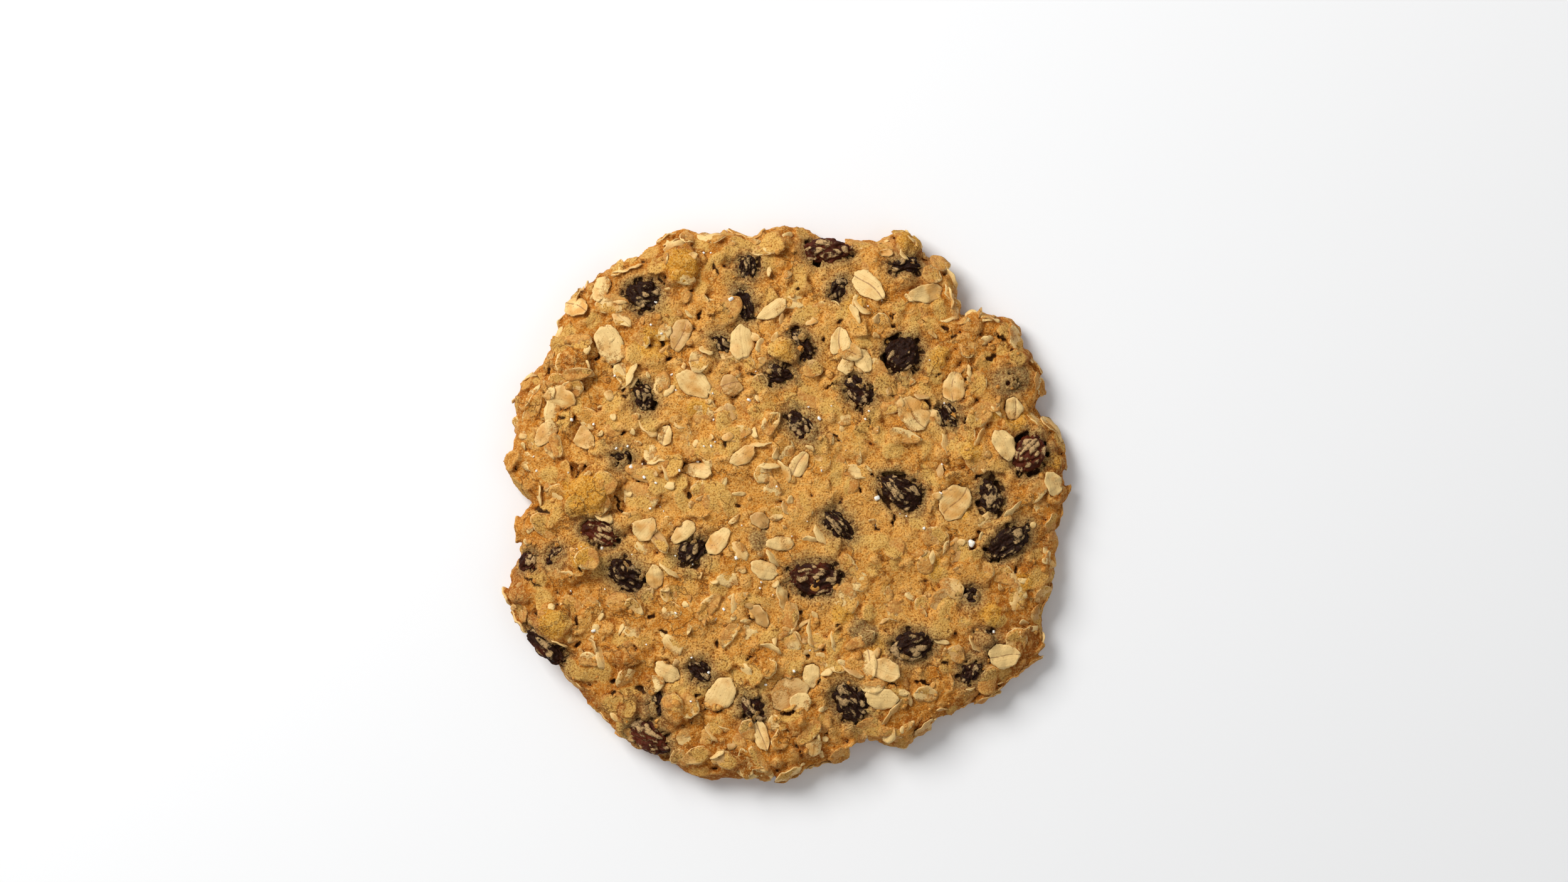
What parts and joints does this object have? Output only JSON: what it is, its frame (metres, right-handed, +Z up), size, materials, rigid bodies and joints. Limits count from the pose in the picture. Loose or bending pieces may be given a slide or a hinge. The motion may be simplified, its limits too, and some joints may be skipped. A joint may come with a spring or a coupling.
{
  "type": "oatmeal raisin cookie",
  "caption": "Round, lumpy, uneven-edged baked oat cookie with raisins set in its top and rim; lies flat on its underside.",
  "frame": {"origin": "middle of the flat underside, at the centre of the cookie's box seen from above", "axes": "+Z up through the thickness; +X and +Y lie in the underside, +Y away from a viewer who sees the bite in the rim at the lower right"},
  "size_m": [0.127, 0.126, 0.0136],
  "materials": {
    "baked_dough": "matte, crumbly golden-brown crust",
    "raisin_skin": "dark wrinkled skin with a low sheen"
  },
  "bodies": {
    "root": {"dough": "baked_dough", "raisin_01": "raisin_skin", "raisin_02": "raisin_skin", "raisin_03": "raisin_skin", "raisin_04": "raisin_skin", "raisin_05": "raisin_skin", "raisin_06": "raisin_skin", "raisin_07": "raisin_skin", "raisin_08": "raisin_skin", "raisin_09": "raisin_skin", "raisin_10": "raisin_skin", "raisin_11": "raisin_skin", "raisin_12": "raisin_skin", "raisin_13": "raisin_skin", "raisin_14": "raisin_skin", "raisin_15": "raisin_skin", "raisin_16": "raisin_skin", "raisin_17": "raisin_skin", "raisin_18": "raisin_skin", "raisin_19": "raisin_skin", "raisin_20": "raisin_skin", "raisin_21": "raisin_skin", "raisin_22": "raisin_skin", "raisin_23": "raisin_skin", "raisin_24": "raisin_skin", "raisin_25": "raisin_skin", "raisin_26": "raisin_skin", "raisin_27": "raisin_skin", "raisin_28": "raisin_skin", "raisin_29": "raisin_skin", "raisin_30": "raisin_skin", "raisin_31": "raisin_skin", "raisin_32": "raisin_skin", "raisin_33": "raisin_skin", "raisin_34": "raisin_skin", "raisin_35": "raisin_skin", "raisin_36": "raisin_skin", "raisin_37": "raisin_skin"}
  },
  "joints": []
}
